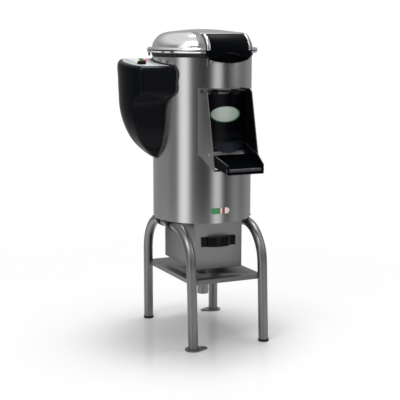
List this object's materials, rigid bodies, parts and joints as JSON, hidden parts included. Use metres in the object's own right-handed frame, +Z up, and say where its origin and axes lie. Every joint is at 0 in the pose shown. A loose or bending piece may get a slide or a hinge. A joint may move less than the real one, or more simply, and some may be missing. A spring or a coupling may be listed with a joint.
{
  "type": "electric potato peeler",
  "caption": "Free-standing catering potato peeler: steel drum on a tube stand, domed lid, front discharge door with tray, side control box and pull-out filter box.",
  "frame": {"origin": "on the floor, under the middle of the outline seen from above", "axes": "+Z up, -Y towards the user in front of the discharge door, +X to the user's right"},
  "size_m": [0.5586, 0.6459, 1.2075],
  "materials": {
    "casing_steel": "satin",
    "stand_steel": "satin",
    "filter_steel": "satin",
    "lid_aluminium": "polished",
    "black_plastic": "gloss",
    "black_matte": "matte",
    "seal_rubber": "matte",
    "abrasive": "rough",
    "cast_iron": "rough",
    "motor_paint": "satin",
    "label_grey": "satin",
    "button_green": "gloss",
    "button_red": "gloss",
    "badge": "gloss",
    "tricolour": "gloss",
    "brass": "satin",
    "pin_steel": "polished"
  },
  "bodies": {
    "frame": {"stand_tube_left": "stand_steel", "stand_tube_right": "stand_steel", "floor_plates": "stand_steel", "rubber_feet": "seal_rubber", "shelf_pan": "filter_steel", "drain_pipe": "filter_steel", "saddle_straps": "black_matte", "fixing_screws": "pin_steel", "filter_housing": "filter_steel", "base_plate": "casing_steel", "outer_casing": "casing_steel", "port_frame": "casing_steel", "top_ring": "casing_steel", "bowl_liner": "abrasive", "bowl_floor": "casing_steel", "waste_duct": "black_matte", "bearing_housing": "cast_iron", "spindle_bearings": "pin_steel", "shaft_seal": "seal_rubber", "motor_body": "motor_paint", "motor_mount": "stand_steel", "drive_belt": "seal_rubber", "solenoid_valve": "black_matte", "water_inlet": "brass", "spray_pipe": "brass", "chute_frame": "casing_steel", "chute_liner": "black_matte", "door_rod": "pin_steel", "discharge_tray": "black_plastic", "tray_bar": "black_matte", "hinge_bracket": "casing_steel", "hinge_pin": "pin_steel", "lid_catch": "casing_steel", "control_box": "black_plastic", "control_gasket": "seal_rubber", "control_label": "label_grey", "control_unit": "black_matte", "cable_gland": "black_matte", "tricolour_badge": "tricolour"},
    "lid": {"lid_dome": "lid_aluminium", "lid_grip_cover": "black_plastic", "lid_gasket": "seal_rubber", "lid_hinge_leaf": "lid_aluminium", "lid_screws": "pin_steel", "lid_switch_tab": "black_matte"},
    "door": {"discharge_door": "black_plastic", "door_gasket": "seal_rubber", "door_badge": "badge"},
    "drawer": {"drawer_box": "filter_steel", "drawer_front": "filter_steel", "drawer_handle": "black_plastic", "filter_basket": "filter_steel"},
    "disc": {"abrasive_disc": "abrasive", "disc_cap": "pin_steel", "spindle": "pin_steel", "driven_pulley": "cast_iron"},
    "rotor": {"motor_rotor": "cast_iron"},
    "start": {"start_button": "button_green"},
    "stop": {"stop_button": "button_red"},
    "knob": {"timer_knob": "black_matte"}
  },
  "joints": [
    {"name": "lid_hinge", "type": "hinge", "parent": "frame", "child": "lid", "pos_m": [0.0629, 0.306, 1.112], "axis": [-1, 0, 0], "range_deg": [0, 95]},
    {"name": "door_hinge", "type": "hinge", "parent": "frame", "child": "door", "pos_m": [0.0629, -0.132, 0.978], "axis": [-1, 0, 0], "range_deg": [0, 75]},
    {"name": "drawer_slide", "type": "slide", "parent": "frame", "child": "drawer", "axis": [0, -1, 0], "range_m": [0, 0.22]},
    {"name": "disc_spin", "type": "hinge", "parent": "frame", "child": "disc", "pos_m": [0.0629, 0.074, 0.748], "axis": [0, 0, 1], "continuous": true},
    {"name": "motor_spin", "type": "hinge", "parent": "frame", "child": "rotor", "pos_m": [0.0629, 0.18, 0.498], "axis": [0, 0, 1], "continuous": true},
    {"name": "start_press", "type": "slide", "parent": "frame", "child": "start", "axis": [0, 0.1132, -0.9936], "range_m": [0, 0.003], "stiffness_N_per_m": 300},
    {"name": "stop_press", "type": "slide", "parent": "frame", "child": "stop", "axis": [0, 0.1132, -0.9936], "range_m": [0, 0.003], "stiffness_N_per_m": 300},
    {"name": "timer_turn", "type": "hinge", "parent": "frame", "child": "knob", "pos_m": [-0.2071, 0.02972, 1.08099], "axis": [0, 0.1132, -0.9936], "range_deg": [0, 300]}
  ],
  "couplings": [
    {"joint": "motor_spin", "follows": "disc_spin", "ratio": 3.2439}
  ]
}
